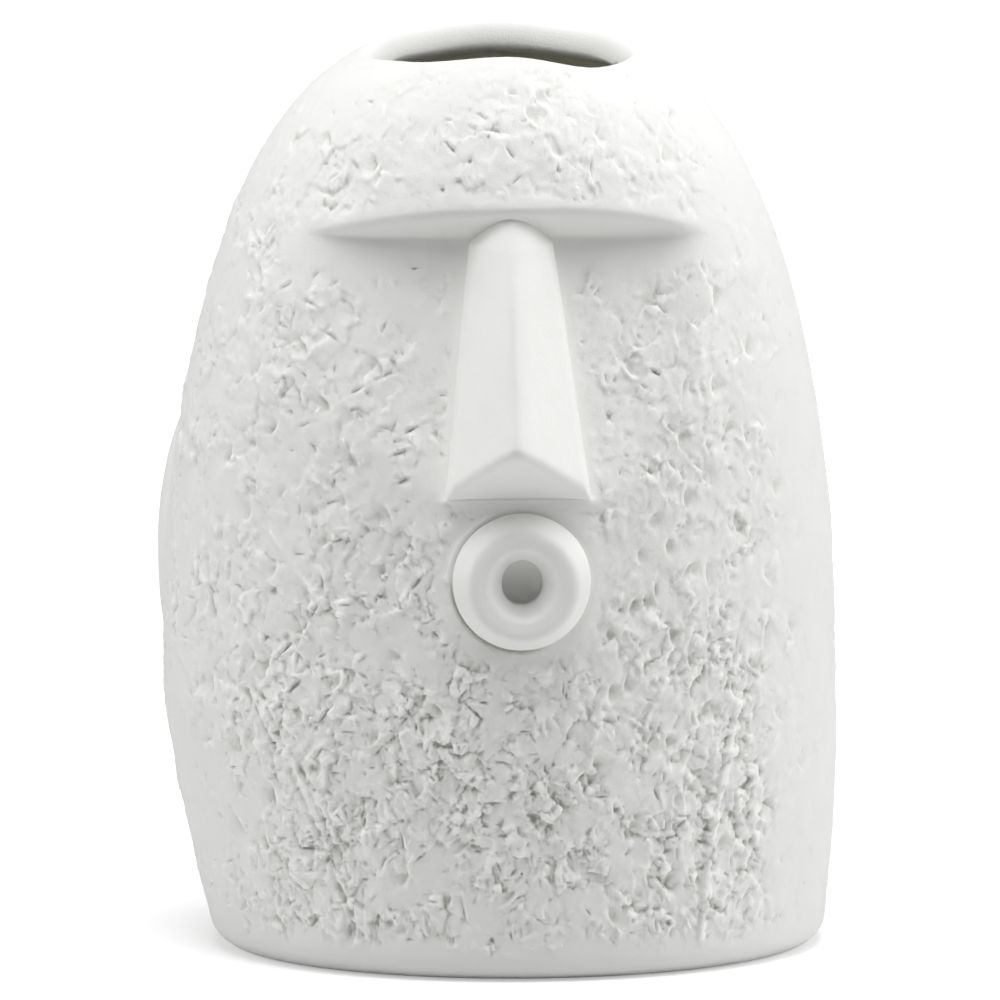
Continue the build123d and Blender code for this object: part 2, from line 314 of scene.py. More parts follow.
@dataclass(frozen=True)
class Grain:
    """Repeatable noise in space, for shapes that no two chisel strokes share."""

    seed: int = 7
    step: float = 0.6
    tilt: float = 2.0

    def chance(self, cells: list[Array], salt: int) -> Array:
        """Numbers from 0 to 1 that belong to lattice cells.

        Args:
            cells: Whole numbers of the cells along the three axes.
            salt: Sets one family of numbers apart from another.

        Returns:
            One number for each cell.
        """
        mixed = cells[0].astype(np.uint32) * np.uint32(73856093)
        mixed ^= cells[1].astype(np.uint32) * np.uint32(19349663)
        mixed ^= cells[2].astype(np.uint32) * np.uint32(83492791)
        mixed ^= np.uint32((salt * 2654435761 + self.seed * 40503) & 0xFFFFFFFF)
        for shift in (15, 13):
            mixed ^= mixed >> np.uint32(shift)
            mixed *= np.uint32(0x2C1B3C6D)
        mixed ^= mixed >> np.uint32(16)
        return (mixed & np.uint32(0xFFFFFF)).astype(np.float32) / np.float32(0xFFFFFF)

    def waves(self, points: Array, length: float, salt: int) -> Array:
        """Soft gradient noise.

        Args:
            points: Places in millimetres, with the three axes last.
            length: Size of a wave in millimetres.
            salt: Sets one noise apart from another.

        Returns:
            Noise from about -1 to 1 at each place.
        """
        places = (points / length).astype(np.float32)
        floors = np.floor(places)
        parts = places - floors
        fades = parts * parts * parts * (parts * (parts * 6 - 15) + 10)
        base = [floors[..., axis].astype(np.int64) for axis in range(3)]
        total = np.zeros(points.shape[:-1], dtype=np.float32)
        for corner in np.ndindex(2, 2, 2):
            cells = [base[axis] + corner[axis] for axis in range(3)]
            weight = np.ones_like(total)
            slope = np.zeros_like(total)
            for axis in range(3):
                fade = fades[..., axis]
                weight *= fade if corner[axis] else 1 - fade
                pull = self.chance(cells, salt * 3 + axis) * 2 - 1
                slope += pull * (parts[..., axis] - corner[axis])
            total += weight * slope
        return total * 1.6

    def plates(self, points: Array, length: float, salt: int) -> tuple[Array, Array]:
        """Split of space into stony plates, each with a level and a tilt of its own.

        Args:
            points: Places in millimetres, with the three axes last.
            length: Size of a plate in millimetres.
            salt: Sets one split apart from another.

        Returns:
            Height of the plate at each place, in plate sizes, and its distance from the plate's edge.
        """
        places = (points / length).astype(np.float32)
        base = np.floor(places).astype(np.int64)
        shape = points.shape[:-1]
        nearest = np.full(shape, 9.0, dtype=np.float32)
        second = np.full(shape, 9.0, dtype=np.float32)
        owner = [np.zeros(shape, dtype=np.int64) for _ in range(3)]
        offsets = [np.zeros(shape, dtype=np.float32) for _ in range(3)]
        for step in np.ndindex(3, 3, 3):
            cells = [base[..., axis] + step[axis] - 1 for axis in range(3)]
            jitter = [self.chance(cells, salt * 9 + axis) for axis in range(3)]
            away = [places[..., axis] - cells[axis] - jitter[axis] for axis in range(3)]
            gap = away[0] ** 2 + away[1] ** 2 + away[2] ** 2
            closer = gap < nearest
            second = np.where(closer, nearest, np.minimum(second, gap))
            nearest = np.where(closer, gap, nearest)
            for axis in range(3):
                owner[axis] = np.where(closer, cells[axis], owner[axis])
                offsets[axis] = np.where(closer, away[axis], offsets[axis])
        height = (self.chance(owner, salt * 9 + 3) - 0.5) * self.step
        for axis in range(3):
            height += (self.chance(owner, salt * 9 + 4 + axis) - 0.5) * offsets[axis] * self.tilt
        return height, np.sqrt(second) - np.sqrt(nearest)


@dataclass(frozen=True)
class HeadForm:
    """Smooth form of the head in millimetres, measured from the axis of its crown."""

    crown: float = 202.0
    belly: float = 57.0
    belly_half: Pair = (73.3, 56.0)
    foot_half: Pair = (66.0, 52.0)
    foot_shift: float = 4.4
    foot_power: float = 1.5
    width_powers: Pair = (2.15, 2.9)
    depth_powers: Pair = (3.2, 2.9)
    opening_half: Pair = (28.0, 23.0)
    brow: float = 161.0
    brow_overhang: float = 10.5
    brow_slope: float = 37.5
    face_foot: float = 104.0
    face_radius: float = 170.0
    face_shift: float = -2.5
    corner_softness: Pair = (1.0, 3.0)
    corner_change: Pair = (5.0, 40.0)
    right_fade: float = 1.6
    right_change: Pair = (26.0, 42.0)
    brow_softness: float = 2.6
    cheek_softness: float = 0.8
    softness_change: Pair = (20.0, 3.0)
    least_rim: float = 170.0
    halvings: int = 40

    def reach(self, height: Array, axis: int) -> Array:
        """Half the head's size at heights.

        Args:
            height: Heights in millimetres.
            axis: 0 for the width, 1 for the depth.

        Returns:
            Half the width or the depth at each height.
        """
        powers = (self.width_powers, self.depth_powers)[axis]
        belly, foot = self.belly_half[axis], self.foot_half[axis]
        drop = np.clip((self.belly - height) / self.belly, 0.0, 1.0)
        rise = np.clip((height - self.belly) / (self.crown - self.belly), 0.0, 1.0)
        low = belly - (belly - foot) * drop**self.foot_power
        return np.where(height < self.belly, low, belly * (1 - rise ** powers[0]) ** (1 / powers[1]))

    def slope(self, height: Array, axis: int) -> Array:
        """Change of the reach for each millimetre of height."""
        step = 0.01
        return (self.reach(height + step, axis) - self.reach(height - step, axis)) / (2 * step)

    def middle(self, height: Array) -> Array:
        """Sideways place of the middle: below the belly the head leans to its foot."""
        return self.foot_shift * np.clip(1 - height / self.belly, 0.0, 1.0)

    def face_line(
        self, height: Array, inset: float = 0.0, softness: float | Array = 2.0
    ) -> Array:
        """Y of the cut-back face and of the brow's underside in the middle.

        Args:
            height: Heights in millimetres.
            inset: How far inside the outer skin the line lies.
            softness: How far the corner between them is rounded.

        Returns:
            Y at each height; the skin is never further forward.
        """
        corner = self.brow_overhang - float(self.reach(np.array(self.brow), 1))
        run_out = -float(self.reach(np.array(self.face_foot), 1))
        lean = (corner - run_out) / (self.brow - self.face_foot)
        rise = 1 / math.tan(math.radians(self.brow_slope))
        face = corner + (height - self.brow) * lean + inset * math.hypot(1, lean)
        underside = corner - (height - self.brow) * rise + inset * math.hypot(1, rise)
        return -soft_max(-face, -underside, softness)

    def cut_back(self, across: Array, height: Array, inset: float = 0.0) -> Array:
        """Y of the face and brow, rounded from cheek to cheek.

        Args:
            across: X of the places in millimetres.
            height: Z of the places.
            inset: How far inside the outer skin they lie.

        Returns:
            Y at each place; the skin is never further forward.
        """
        corner = self.brow_overhang - float(self.reach(np.array(self.brow), 1))
        centre = corner + self.face_radius
        crisp, soft = self.corner_softness
        softness = crisp + (soft - crisp) * ramp(across, *self.corner_change)
        radius = centre - self.face_line(height, inset, softness)
        cut = centre - np.sqrt(np.maximum(radius**2 - (across - self.face_shift) ** 2, 1.0))
        return cut - self.right_fade * ramp(across, *self.right_change)

    def ring(self, turn: Array, height: Array, inset: float = 0.0) -> Array:
        """Points of the skin, or of the wall's inside, before the face is cut back.

        Args:
            turn: Turn round the axis from the middle of the face, in radians.
            height: Height of the outer skin in millimetres.
            inset: How far inside the outer skin the points lie.

        Returns:
            Points with the three axes last.
        """
        slopes = [self.slope(height, axis) for axis in (0, 1)]
        lengths = [np.hypot(1, slope) for slope in slopes]
        lift = (slopes[0] / lengths[0] + slopes[1] / lengths[1]) / 2
        x = self.middle(height) + (self.reach(height, 0) - inset / lengths[0]) * np.sin(turn)
        y = -(self.reach(height, 1) - inset / lengths[1]) * np.cos(turn)
        return np.stack(np.broadcast_arrays(x, y, height + inset * lift), axis=-1)

    def skin(self, turn: Array, height: Array, inset: float = 0.0) -> Array:
        """Points of the skin, or of the wall's inside, with the face cut back below the brow.

        Args:
            turn: Turn round the axis from the middle of the face, in radians.
            height: Height of the outer skin in millimetres.
            inset: How far inside the outer skin the points lie.

        Returns:
            Points with the three axes last.
        """
        points = self.ring(turn, height, inset)
        cut = self.cut_back(points[..., 0], points[..., 2], inset)
        by_brow = ramp(points[..., 2], *(self.brow - below for below in self.softness_change))
        soft = self.cheek_softness + (self.brow_softness - self.cheek_softness) * by_brow
        front = points[..., 1] < 0
        points[..., 1] = np.where(front, soft_max(points[..., 1], cut, soft), points[..., 1])
        return points

    def brow_gap(self, points: Array) -> Array:
        """How far the dome stands in front of the cut-back face and the brow's underside.

        Args:
            points: Places with the three axes last.

        Returns:
            Distance at each place in millimetres.
        """
        across = (points[..., 0] - self.middle(points[..., 2])) / self.reach(points[..., 2], 0)
        dome = -self.reach(points[..., 2], 1) * np.sqrt(np.clip(1 - across**2, 0.0, 1.0))
        return self.cut_back(points[..., 0], points[..., 2]) - dome

    def rim(self, turn: Array, inset: float = 0.0) -> Array:
        """Heights at which the skin meets the upright opening.

        Args:
            turn: Turns round the axis in radians.
            inset: How far inside the outer skin the opening's edge lies.

        Returns:
            Height at each turn.
        """
        low = np.full_like(turn, self.least_rim)
        high = np.full_like(turn, self.crown - 0.05)
        for _ in range(self.halvings):
            middle = (low + high) / 2
            points = self.ring(turn, middle, inset)
            wide, deep = (points[:, axis] / self.opening_half[axis] for axis in (0, 1))
            outside = np.hypot(wide, deep) > 1
            low = np.where(outside, middle, low)
            high = np.where(outside, high, middle)
        return (low + high) / 2


@dataclass(frozen=True)
class GougePlan:
    """How the gouges of the solid are spread over the front, in millimetres and degrees."""

    count: int = 120
    sweep: float = 62.0
    low: float = 12.5
    high: float = 188.0
    lean: float = 50.0
    clearance: float = 7.0
    size: Triple = (4.33, 2.9, 1.0)
    golden_steps: Pair = (0.618034, 0.754878)


@dataclass(frozen=True)
class MarkPlan:
    """How marks of one kind are spread, and ranges of their sizes; slimness is a share of the length."""

    kind: Mark
    count: int
    crowding: float
    spread: Triple
    half_length: Pair
    slimness: Pair
    depth: Pair


MARK_PLANS: tuple[MarkPlan, ...] = (
    MarkPlan(Mark.SCOOP, 900, 1.5, (1.0, 0.0, 0.0), (0.8, 1.8), (0.3, 0.5), (0.25, 0.55)),
    MarkPlan(Mark.SCOOP, 900, 1.2, (1.0, 0.0, 0.0), (0.45, 0.9), (0.4, 0.7), (0.2, 0.4)),
    MarkPlan(Mark.GOUGE, 520, 1.5, (0.5, 0.5, 0.0), (1.2, 2.8), (0.5, 0.8), (0.3, 0.65)),
    MarkPlan(Mark.SLIT, 800, 1.5, (0.5, 0.0, 1.0), (0.8, 2.0), (0.1, 0.16), (0.35, 0.65)),
    MarkPlan(Mark.PIT, 400, 1.0, (1.0, 0.0, 0.0), (0.3, 0.55), (0.6, 1.0), (0.2, 0.45)),
)
"""The spread is the density everywhere, and what is added on the right cheek and on the chin."""


@dataclass(frozen=True)
class WipedZones:
    """Where the relief fades, from and to.

    The sides and back are in degrees round the head, the flats in levels of noise, the rest in
    millimetres.
    """

    rim: Pair = (2.6, 7.5)
    foot: Pair = (5.0, 12.0)
    right: Pair = (46.0, 66.0)
    left: Pair = (58.0, 80.0)
    back: Pair = (95.0, 125.0)
    crease: Pair = (153.0, 160.0)
    brow: Pair = (150.0, 158.0)
    brow_edge: Pair = (2.0, 7.5)
    cheek_left: Pair = (-44.0, -36.0)
    cheek_right: Pair = (-18.0, -10.0)
    cheek_low: Pair = (122.0, 132.0)
    ear: Pair = (0.5, 6.0)
    nose: Pair = (0.6, 4.0)
    mouth: Pair = (16.2, 20.5)
    chin: Pair = (0.0, 40.0)
    jaw: Pair = (48.0, 60.0)
    forehead: Pair = (160.0, 168.0)
    flats: Pair = (0.05, 0.4)


@dataclass
class ChiselledSkin:
    """Relief that the chisel leaves on the smooth form, in millimetres along the skin's normal."""

    form: HeadForm
    points: Array
    normals: Array
    turn: Array
    to_rim: Array
    nose_half: Pair = FACE.nose_half
    nose_span: Pair = (FACE.nose_base, FACE.nose_top)
    nose_lean: float = FACE.nose_lean
    ear: Triple = (58.1, FACE.ear_setback, FACE.ear_height)
    ear_half: Pair = FACE.ear_half
    mouth: Triple = (*FACE.mouth, FACE.mouth_radius)
    burr_width: float = 0.4
    burr_share: float = 0.42
    gouge_bow: float = 0.25
    nose_slip: Pair = (0.2, 0.8)
    under_slip: Pair = (0.5, 1.3)
    ring_slip: Pair = (0.5, 0.8)
    ear_slip: Pair = (0.9, 2.0)
    """Height and width of each bead of slip."""
    seam_width: float = 0.4
    slip_reach: float = 9.0
    lumps: Pair = (11.0, 0.34)
    swells: Pair = (5.0, 0.12)
    large_plates: Pair = (5.6, 0.5)
    small_plates: Pair = (2.7, 0.26)
    tiny_plates: Pair = (1.45, 0.07)
    grit: Pair = (1.6, 0.05)
    """Length and height of each layer of the relief."""
    relief_gain: float = 1.15
    mark_gain: float = 1.1
    least_width: float = 0.22
    chin_top: float = 96.0
    seed: int = 19
    plan: GougePlan = field(default_factory=GougePlan)
    zones: WipedZones = field(default_factory=WipedZones)
    grain: Grain = field(default_factory=Grain)

    def noise(self, length: float, salt: int) -> Array:
        """Soft noise at each place of the skin, with waves of a length in millimetres."""
        return self.grain.waves(self.points, length, salt)

    def nose_gap(self) -> Array:
        """Distance across the face from the nose's outline.

        Returns:
            Millimetres at each place.
        """
        x, z = self.points[..., 0], self.points[..., 2]
        low, high = self.nose_span
        share = np.clip((z - low) / (high - low), 0.0, 1.0)
        half = self.nose_half[0] + (self.nose_half[1] - self.nose_half[0]) * share
        beyond = np.maximum(low - z, 0.0) + np.maximum(z - high, 0.0)
        middle = self.nose_lean * (1 - share)
        gap = np.hypot(np.maximum(np.abs(x - middle) - half, 0.0), beyond)
        return np.where(self.points[..., 1] < 0, gap, FAR)

    def mouth_gap(self) -> Array:
        """Distance across the face from the middle of the mouth.

        Returns:
            Millimetres at each place.
        """
        x, z = self.points[..., 0], self.points[..., 2]
        gap = np.hypot(x - self.mouth[0], z - self.mouth[1])
        return np.where(self.points[..., 1] < 0, gap, FAR)

    def ear_gap(self) -> Array:
        """Distance from the nearer ear, about.

        Returns:
            Millimetres at each place, below 0 inside the ear.
        """
        x, y, z = (self.points[..., axis] for axis in range(3))
        across = np.hypot(np.abs(x) - self.ear[0], y - self.ear[1]) / self.ear_half[0]
        return (np.hypot(across, (z - self.ear[2]) / self.ear_half[1]) - 1) * self.ear_half[0]

    def slip(self) -> Array:
        """Slip that is wiped round the luted pieces, and the seam that it leaves open beside the mouth.

        Returns:
            Height at each place in millimetres.
        """
        x, z = self.points[..., 0], self.points[..., 2]
        wander = self.noise(6.0, 31)
        gap = self.nose_gap()
        height = self.nose_slip[0] * bell(gap, self.nose_slip[1]) * (gap < self.slip_reach)
        below = ramp(self.nose_span[0] - z, -0.6, 0.6)
        height += self.under_slip[0] * bell(gap, self.under_slip[1]) * below * (gap < self.slip_reach)
        ring = self.mouth_gap() - self.mouth[2]
        close = ring < self.slip_reach
        angle = np.degrees(np.arctan2(z - self.mouth[1], x - self.mouth[0]))
        low_left = ramp(angle, -185.0, -165.0) * (1 - ramp(angle, -95.0, -60.0))
        high_left = ramp(np.abs(angle), 95.0, 120.0) * ramp(angle + 200 * (angle < 0), 90.0, 120.0)
        fillet = bell(ring - 0.9 - 0.3 * wander, self.ring_slip[1])
        height += self.ring_slip[0] * high_left * fillet * close
        height -= (0.2 + 0.9 * low_left) * bell(ring - 0.35, self.seam_width) * close
        height += self.ear_slip[0] * bell(np.maximum(self.ear_gap(), 0.0), self.ear_slip[1])
        return height

    def roughness(self) -> Array:
        """How rough the skin is: the potter wiped some of it smooth.

        Returns:
            Share of the full relief at each place.
        """
        x, y, z = (self.points[..., axis] for axis in range(3))
        turn = np.degrees(self.turn)[None, :]
        zones = self.zones
        patch = self.noise(26.0, 1)
        wander = self.noise(9.0, 2)
        share = ramp(self.to_rim + 1.2 * wander, *zones.rim)
        share *= ramp(z + 1.5 * wander, *zones.foot)
        right = 1 - 0.72 * ramp(turn + 6 * wander, *zones.right)
        left = 1 - 0.3 * ramp(-turn + 6 * wander, *zones.left)
        back = 0.5 * ramp(np.abs(turn), *zones.back)
        share *= np.minimum(np.minimum(right, left) + back, 1.0)
        behind = np.where(y < 0, self.form.brow_gap(self.points), -FAR)
        hollow = np.where(behind > -0.5, ramp(z + 2.0 * wander, *zones.crease), 0.0)
        share *= 1 - hollow
        brow = ramp(z, *zones.brow) * (1 - ramp(-behind + 0.8 * wander, *zones.brow_edge))
        share *= 1 - brow
        inner = ramp(x, *zones.cheek_left) * (1 - ramp(x, *zones.cheek_right))
        wiped = inner * ramp(z, *zones.cheek_low)
        share *= 1 - 0.4 * wiped * (z < zones.brow[1])
        share *= ramp(self.ear_gap() + wander, *zones.ear)
        share *= ramp(self.nose_gap() + 0.8 * wander, *zones.nose)
        share *= ramp(self.mouth_gap() + 1.6 * wander, *zones.mouth)
        chin = ramp(self.chin_top - z, *zones.chin) * (1 - ramp(np.abs(x), *zones.jaw)) * (y < 0)
        quiet = self.noise(13.0, 4)
        share *= 1 - 0.3 * ramp(z, *zones.forehead)
        share *= 1 - 0.6 * ramp(self.noise(8.0, 6), *zones.flats)
        return share * np.clip(0.72 + 0.4 * patch + 0.5 * quiet + 0.6 * chin, 0.2, 1.6)

    def relief(self, rough: Array) -> Array:
        """Lumps, plates and creases that the marks are cut into.

        Args:
            rough: Share of the full relief at each place.

        Returns:
            Height at each place in millimetres.
        """
        warp = np.stack([self.noise(3.4, 11 + axis) for axis in range(3)], axis=-1)
        fine = np.stack([self.noise(1.5, 15 + axis) for axis in range(3)], axis=-1)
        bent = self.points + 1.3 * warp + 0.35 * fine
        large, large_edge = self.grain.plates(bent * np.array([1.0, 1.0, 0.8]), self.large_plates[0], 3)
        small, small_edge = self.grain.plates(bent, self.small_plates[0], 5)
        tiny, _ = self.grain.plates(bent, self.tiny_plates[0], 7)
        height = self.lumps[1] * self.noise(self.lumps[0], 21)
        height += self.swells[1] * self.noise(self.swells[0], 22)
        plates = self.large_plates[1] * large + self.small_plates[1] * small
        height += plates + self.tiny_plates[1] * tiny
        height -= 0.12 * (1 - ramp(large_edge, 0.0, 0.12))
        lifted = np.clip(2 * self.noise(6.0, 26), -1.0, 1.0)
        height += 0.14 * lifted * (1 - ramp(small_edge, 0.0, 0.16))
        crease = np.abs(self.grain.waves(bent, 3.1, 24))
        broken = ramp(self.noise(7.0, 25), -0.2, 0.3)
        height -= 0.16 * (1 - ramp(crease, 0.0, 0.16)) * broken
        height += self.grit[1] * self.noise(self.grit[0], 23)
        return self.relief_gain * height * rough

    def spots(self, weight: Array, count: int, rng: np.random.Generator) -> Array:
        """Places for marks, spread evenly over the skin where the weight allows.

        Args:
            weight: Relative density of marks at each place.
            count: Number of marks.
            rng: Seeded source of chance.

        Returns:
            Row and column of each mark.
        """
        across = np.linalg.norm(np.roll(self.points, -1, axis=1) - self.points, axis=-1)
        along = np.linalg.norm(np.gradient(self.points, axis=0), axis=-1)
        heap = np.cumsum((weight * across * along).ravel())
        picks = np.searchsorted(heap, rng.random(count) * heap[-1])
        return np.stack(np.unravel_index(picks, weight.shape), axis=-1)

    def stamp(
        self,
        maps: tuple[Array, Array],
        spot: Array,
        kind: Mark,
        size: Triple,
        lean: float,
    ) -> None:
        """Presses one mark into the maps of cuts and of the burrs that they throw up.

        Args:
            maps: Depths of cuts and heights of burrs in millimetres, changed in place.
            spot: Row and column of the mark's middle, or of the middle of a gouge's step.
            kind: Kind of mark.
            size: Half length (all of a gouge's length), half width and depth in millimetres.
            lean: Turn of its length from the level line round the head, in radians.
        """
        cuts, burrs = maps
        row, column = int(spot[0]), int(spot[1])
        rows, columns = cuts.shape
        origin = self.points[row, column]
        step = self.points[row, (column + 1) % columns] - origin
        rise = self.points[min(row + 1, rows - 1), column] - self.points[max(row - 1, 0), column]
        reach = max(size[0], size[1]) + self.burr_width * 2
        span = int(reach / max(np.linalg.norm(step), 0.05)) + 2
        climb = int(reach / max(np.linalg.norm(rise) / 2, 0.05)) + 2
        window = np.ix_(
            np.arange(max(row - climb, 0), min(row + climb + 1, rows)),
            np.arange(column - span, column + span + 1) % columns,
        )
        near = self.points[window] - origin
        level = step / np.linalg.norm(step)
        up = np.cross(self.normals[row, column], level)
        flat, high = near @ level, near @ up
        along = (flat * math.cos(lean) + high * math.sin(lean)) / size[0]
        side = (high * math.cos(lean) - flat * math.sin(lean)) / size[1]
        if kind is Mark.GOUGE:
            ahead = along - self.gouge_bow * side**2
            past = ahead * size[0]
            bowl = np.clip(1 - ahead - side**2, 0.0, 1.0) * ramp(past, -0.3, 0.15)
            burr = bell(past + 0.4, self.burr_width) * np.clip(1 - side**2, 0.0, 1.0)
        else:
            if kind is Mark.SCOOP:
                side = side / np.clip(0.72 + 0.42 * along, 0.25, 1.2)
            radius = np.hypot(along, side)
            bowl = np.clip(1 - radius**2, 0.0, 1.0) ** 0.7
            if kind is Mark.SCOOP:
                bowl = bowl * np.clip(0.62 + 0.5 * side, 0.1, 1.0)
            beyond = (radius - 1) * size[1]
            burr = bell(beyond - 0.3, self.burr_width) * (side > 0) * (kind is not Mark.PIT)
        cuts[window] = np.maximum(cuts[window], bowl * size[2])
        burrs[window] = np.maximum(burrs[window], burr * size[2] * self.burr_share)

    def gouges(self) -> list[tuple[Array, float]]:
        """Finds the gouges of the solid, which are spread in golden steps.

        Returns:
            Row and column of each gouge, and its lean in radians.
        """
        plan = self.plan
        found = []
        for count in range(plan.count):
            spread, lean = (count * step % 1 * 2 - 1 for step in plan.golden_steps)
            height = plan.low + (plan.high - plan.low) * count / plan.count
            turn = math.radians(plan.sweep) * spread
            column = int(np.argmin(np.abs(self.turn - turn)))
            row = int(np.argmin(np.abs(self.points[:, column, 2] - height)))
            x, _, z = self.points[row, column]
            low, high = self.nose_span
            beside = abs(x) < self.nose_half[0] + plan.clearance
            by_nose = beside and low - plan.clearance < z < self.form.brow
            by_mouth = math.hypot(x - self.mouth[0], z - self.mouth[1]) < self.mouth[2] + plan.clearance
            by_brow = self.form.brow - 2 * plan.clearance < z < high + plan.clearance
            if not (by_nose or by_mouth or by_brow):
                facing = 0 if spread > 0 else math.pi
                found.append((np.array([row, column]), math.radians(plan.lean) * lean + facing))
        return found

    def marks(self, rough: Array) -> Array:
        """All chisel marks as heights, below and above the skin.

        Args:
            rough: Share of the full relief at each place.

        Returns:
            Height at each place in millimetres.
        """
        rng = np.random.default_rng(self.seed)
        x, z = self.points[..., 0], self.points[..., 2]
        maps = (np.zeros(rough.shape), np.zeros(rough.shape))
        long, half, deep = self.plan.size
        for spot, lean in self.gouges():
            size = (long, half, deep * min(0.2 + rough[tuple(spot)], 0.8))
            self.stamp(maps, spot, Mark.GOUGE, size, lean)
        for kind, strokes in BOLD_STROKES.items():
            for stroke in strokes:
                long = stroke.long if kind is Mark.GOUGE else stroke.long / 2
                size = (long, stroke.wide / 2, stroke.deep)
                spot = self.nearest(stroke.across, stroke.height)
                self.stamp(maps, spot, kind, size, math.radians(stroke.lean))
        chin = ramp(80 - z, 0.0, 25.0) * (np.abs(x) < 60)
        cheek = ramp(x, 12.0, 24.0) * ramp(z, 25.0, 40.0) * ramp(165 - z, 0.0, 12.0)
        for plan in MARK_PLANS:
            plain, on_cheek, on_chin = plan.spread
            weight = rough**plan.crowding * (plain + on_cheek * cheek + on_chin * chin)
            for spot in self.spots(weight, plan.count, rng):
                across = x[spot[0], spot[1]]
                half = rng.uniform(*plan.half_length)
                wide = max(half * rng.uniform(*plan.slimness), self.least_width)
                deep = rng.uniform(*plan.depth)
                lean = rng.normal(math.radians(100), 0.55)
                if across < 5 or plan.kind is Mark.PIT:
                    lean = rng.uniform(0, 2 * math.pi)
                if plan.kind is Mark.GOUGE:
                    lean = rng.normal(0.0, 0.45) + (0 if across > 0 else math.pi)
                self.stamp(maps, spot, plan.kind, (half, wide, deep), lean)
        return self.mark_gain * (maps[1] * np.minimum(rough, 1.0) - maps[0])

    def nearest(self, across: float, up: float) -> Array:
        """Place on the front that lies nearest to a point of the photograph's plane.

        Args:
            across: X of the point in millimetres.
            up: Z of the point.

        Returns:
            Row and column of the place.
        """
        gap = (self.points[..., 0] - across) ** 2 + (self.points[..., 2] - up) ** 2
        gap = np.where(self.points[..., 1] < 0, gap, 1e9)
        return np.array(np.unravel_index(np.argmin(gap), gap.shape))

    def jaw(self) -> Array:
        """Long grooves and ridges along the jaw.

        Returns:
            Height at each place in millimetres.
        """
        height = np.zeros(self.points.shape[:2])
        wander = self.noise(5.0, 41)
        strength = 0.75 + 0.5 * self.noise(8.0, 42)
        for line in JAW_LINES:
            ends = [self.points[tuple(self.nearest(*bend))] for bend in line.bends]
            gap = np.full(height.shape, FAR)
            for start, end in zip(ends, ends[1:]):
                run = end - start
                share = np.clip((self.points - start) @ run / (run @ run), 0.0, 1.0)
                away = self.points - start - share[..., None] * run
                gap = np.minimum(gap, np.linalg.norm(away, axis=-1))
            bowl = np.clip(1 - ((gap + 0.5 * wander) / line.half) ** 2, 0.0, 1.0) ** 0.8
            height += bowl * line.rise * strength * (gap < 4)
        return height


